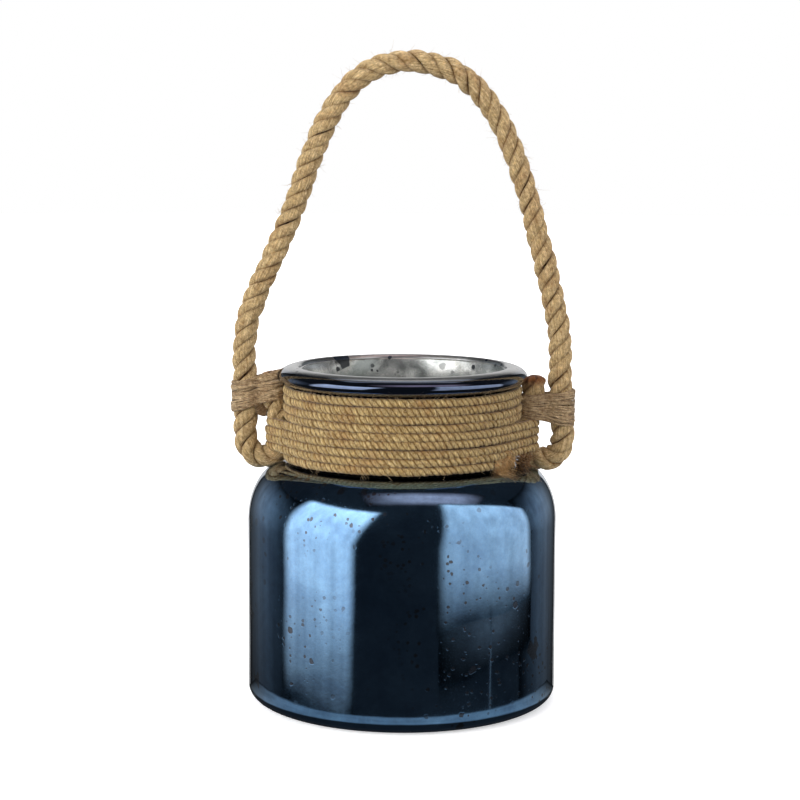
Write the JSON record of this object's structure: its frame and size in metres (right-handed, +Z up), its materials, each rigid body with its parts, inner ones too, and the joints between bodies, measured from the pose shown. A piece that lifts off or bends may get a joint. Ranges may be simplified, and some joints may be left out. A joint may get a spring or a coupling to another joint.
{
  "type": "glass jar lantern",
  "caption": "Silvered glass jar lantern with a rolled rim, a twine-bound neck and a folding rope carrying handle.",
  "frame": {"origin": "middle of the jar's flat base, on the surface that it stands on", "axes": "+Z up along the jar's axis, X through the two legs of the handle, front towards -Y"},
  "size_m": [0.1675, 0.15, 0.3139],
  "materials": {
    "jar_glass": "gloss dark blue mercury glass",
    "silvering": "speckled silver mirror",
    "twine": "twisted jute twine",
    "rope": "three-strand jute rope",
    "seizing": "bound jute fibre"
  },
  "bodies": {
    "jar": {"glass_jar": "jar_glass", "silver_lining": "silvering", "neck_twine_upper": "twine", "neck_twine_middle": "twine", "neck_twine_lower": "twine", "rope_eye_left": "rope", "rope_eye_right": "rope", "seizing_left": "seizing", "seizing_right": "seizing"},
    "handle": {"rope_arch": "rope"}
  },
  "joints": [
    {"name": "handle_fold", "type": "hinge", "parent": "jar", "child": "handle", "pos_m": [0, 0, 0.164], "axis": [1, 0, 0], "range_deg": [-95, 95]}
  ]
}
